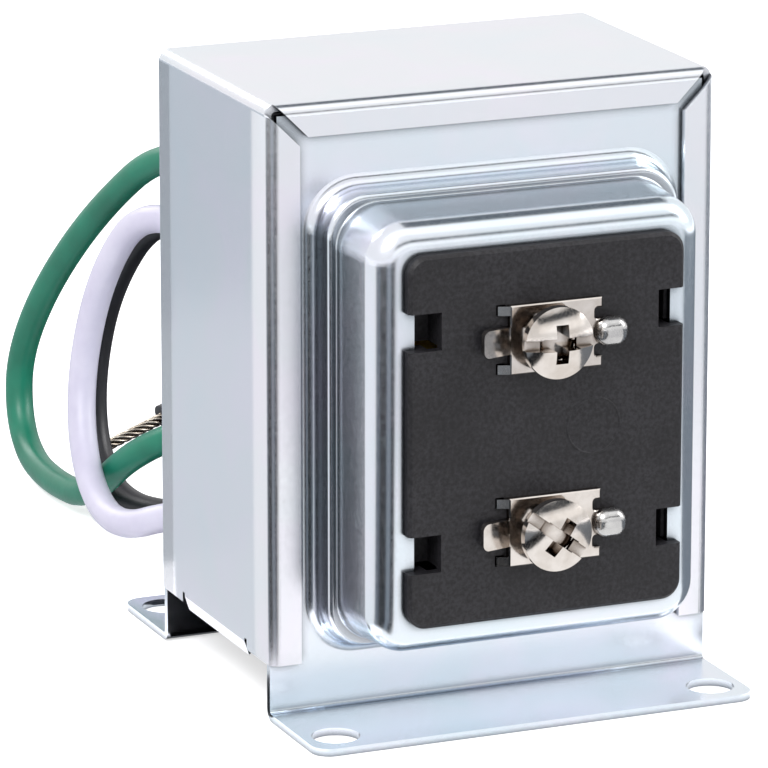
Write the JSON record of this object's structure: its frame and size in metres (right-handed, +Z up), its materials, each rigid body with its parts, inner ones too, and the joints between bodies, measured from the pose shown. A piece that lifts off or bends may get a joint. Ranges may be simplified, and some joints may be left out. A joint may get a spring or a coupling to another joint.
{
  "type": "doorbell transformer",
  "caption": "Boxed low-voltage transformer with drawn end domes, slotted screw terminals on a black board, bent mounting feet and loose wire leads at the back.",
  "frame": {"origin": "centre of the four foot holes on the mounting plane", "axes": "+Z up from the mounting plane, -Y is the way the terminals face, +X to the right seen from the terminals"},
  "size_m": [0.0631, 0.1205, 0.0644],
  "materials": {
    "zinc_steel": "zinc plated, blue passivated",
    "black_nylon": "moulded, fine texture",
    "nickel_plate": "nickel plated",
    "solder": "bright solder",
    "core_steel": "oxide-coated laminations",
    "bobbin_nylon": "moulded",
    "copper_wire": "enamelled",
    "coil_tape": "polyester tape",
    "bushing_nylon": "moulded",
    "green_insulation": "extruded, satin",
    "white_insulation": "extruded, satin",
    "black_insulation": "extruded, satin",
    "tinned_strand": "tinned copper"
  },
  "bodies": {
    "root": {"wrap_cover": "zinc_steel", "front_cover": "zinc_steel", "rear_cover": "zinc_steel", "terminal_board": "black_nylon", "terminal_plate_upper": "nickel_plate", "terminal_plate_lower": "nickel_plate", "terminal_screw_upper": "nickel_plate", "terminal_screw_lower": "nickel_plate", "solder_joint_upper": "solder", "solder_joint_lower": "solder", "e_lamination_stack": "core_steel", "i_lamination_stack": "core_steel", "bobbin": "bobbin_nylon", "primary_winding": "copper_wire", "secondary_winding": "copper_wire", "primary_tape": "coil_tape", "secondary_tape": "coil_tape", "secondary_tail_upper": "tinned_strand", "secondary_tail_lower": "tinned_strand", "thermal_cutoff": "bushing_nylon", "splice_sleeve": "coil_tape", "ground_strap": "tinned_strand", "lead_bushing": "bushing_nylon", "green_lead": "green_insulation", "white_lead": "white_insulation", "black_lead": "black_insulation", "green_lead_end": "tinned_strand", "white_lead_end": "tinned_strand", "black_lead_end": "tinned_strand"}
  },
  "joints": []
}
